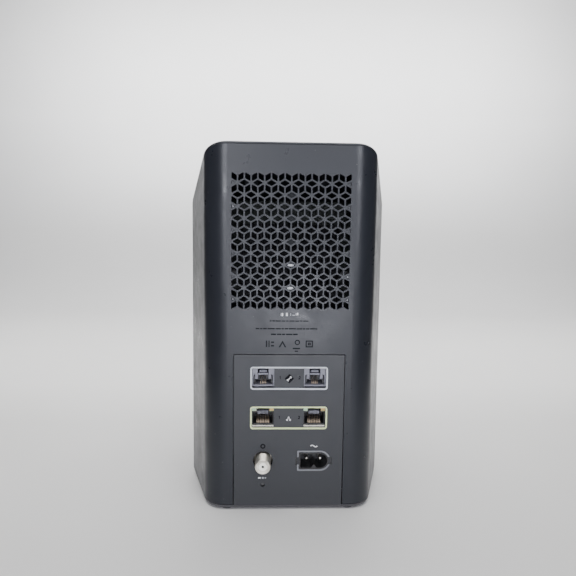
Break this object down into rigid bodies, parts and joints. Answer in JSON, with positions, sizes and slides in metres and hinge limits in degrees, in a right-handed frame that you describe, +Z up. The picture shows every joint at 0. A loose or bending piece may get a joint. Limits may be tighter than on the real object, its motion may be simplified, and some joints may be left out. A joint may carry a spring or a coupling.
{
  "type": "cable modem router",
  "caption": "Tapered grey tower modem and router with a sloping top, a rhomb-patterned rear vent, modular sockets, a coaxial barrel, a mains inlet and a recessed reset button.",
  "frame": {"origin": "on the table, at the centre of the bounding box, with the coaxial barrel counted", "axes": "+Z up; the rear face with the vent and the ports looks along +Y; the front looks along -Y"},
  "size_m": [0.131, 0.1314, 0.2232],
  "materials": {
    "shell_plastic": "fine spark-eroded grain, satin",
    "cap_plastic": "smooth satin",
    "panel_plastic": "fine grain, satin",
    "black_plastic": "satin",
    "rubber": "matte",
    "phone_grey": "satin",
    "ethernet_green": "satin",
    "inlet_grey": "satin",
    "jack_grey": "satin",
    "plated_steel": "bright plated",
    "nickel_brass": "nickel plated",
    "gold_contact": "gold flashed",
    "cream_plastic": "smooth",
    "clear_light_pipe": "frosted light pipe",
    "green_lens": "milky lens",
    "amber_lens": "milky lens",
    "reset_plastic": "satin",
    "circuit_board": "solder mask",
    "supply_board": "bare laminate",
    "chip_epoxy": "moulded epoxy",
    "thermal_pad": "soft pad",
    "aluminium": "extruded",
    "black_aluminium": "black anodised",
    "transformer_tape": "tape",
    "capacitor_sleeve": "shrink sleeve",
    "copper_winding": "enamelled wire",
    "fuse_ceramic": "glazed",
    "header_plastic": "nylon",
    "wire_sleeve": "soft PVC",
    "grey_wire": "soft PVC",
    "antenna_board": "solder mask",
    "blank_label": "printed film, blank",
    "screw_steel": "zinc plated"
  },
  "bodies": {
    "tower": {"outer_shell": "shell_plastic", "top_cover": "cap_plastic", "light_guide": "clear_light_pipe", "base_plate": "black_plastic", "rubber_feet": "rubber", "base_screws": "screw_steel", "base_label": "blank_label", "io_panel": "panel_plastic", "phone_port_bezel": "phone_grey", "ethernet_port_bezel": "ethernet_green", "power_inlet_bezel": "inlet_grey", "phone_jack_1": "jack_grey", "phone_jack_2": "jack_grey", "phone_jack_contacts": "gold_contact", "ethernet_jack_1": "black_plastic", "ethernet_jack_2": "black_plastic", "ethernet_shield_1": "plated_steel", "ethernet_shield_2": "plated_steel", "ethernet_jack_contacts": "gold_contact", "link_light_lenses": "green_lens", "activity_light_lenses": "amber_lens", "coax_connector": "nickel_brass", "coax_insulator": "cream_plastic", "coax_contact": "gold_contact", "power_inlet": "black_plastic", "power_inlet_pins": "plated_steel", "power_inlet_leads": "wire_sleeve", "reset_switch": "black_plastic", "inner_frame": "black_plastic", "main_board": "circuit_board", "board_screws": "screw_steel", "processor": "chip_epoxy", "memory_chips": "chip_epoxy", "processor_pad": "thermal_pad", "front_heatsink": "aluminium", "heatsink_screws": "screw_steel", "radio_chips": "chip_epoxy", "radio_pads": "thermal_pad", "rear_heatsink": "black_aluminium", "tuner_shield": "plated_steel", "wifi_shield": "plated_steel", "phone_line_modules": "chip_epoxy", "network_transformers": "chip_epoxy", "power_board": "supply_board", "power_transformer": "transformer_tape", "bulk_capacitor": "capacitor_sleeve", "output_capacitors": "capacitor_sleeve", "mains_choke": "copper_winding", "rectifier_heatsink": "aluminium", "fuse": "fuse_ceramic", "supply_screws": "screw_steel", "dc_header": "header_plastic", "dc_leads": "wire_sleeve", "led_board": "circuit_board", "status_led": "header_plastic", "led_header": "header_plastic", "led_cable": "grey_wire", "wifi_antennas": "antenna_board", "antenna_cables": "wire_sleeve"},
    "reset_plunger": {"reset_button": "reset_plastic"}
  },
  "joints": [
    {"name": "reset_press", "type": "slide", "parent": "tower", "child": "reset_plunger", "axis": [0, -1, 0], "range_m": [0, 0.0005], "stiffness_N_per_m": 1500, "springref_m": -0.0002}
  ]
}
